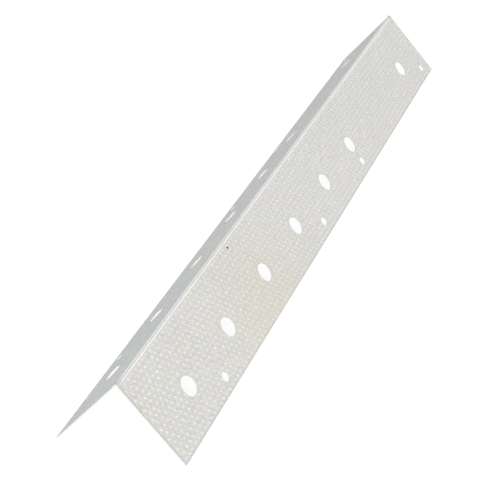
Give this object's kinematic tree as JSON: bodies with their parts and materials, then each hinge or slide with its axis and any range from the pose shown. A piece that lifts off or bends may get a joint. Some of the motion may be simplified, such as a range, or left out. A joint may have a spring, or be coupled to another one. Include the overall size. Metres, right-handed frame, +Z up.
{
  "type": "drywall corner bead",
  "caption": "Folded strip of thin galvanised steel with punched, knurled flanges and a small rounded nose; it is nailed over an outside drywall corner to guard it and guide the joint compound.",
  "frame": {"origin": "middle of the box on the floor, under the nose", "axes": "+X along the strip, from the end that is near in the picture to the far one; +Z up; the lit flange is on the -Y side"},
  "size_m": [0.305, 0.0416, 0.024],
  "materials": {
    "galvanised_sheet": "dull galvanised, knurled"
  },
  "bodies": {
    "root": {"corner_bead": "galvanised_sheet"}
  },
  "joints": []
}
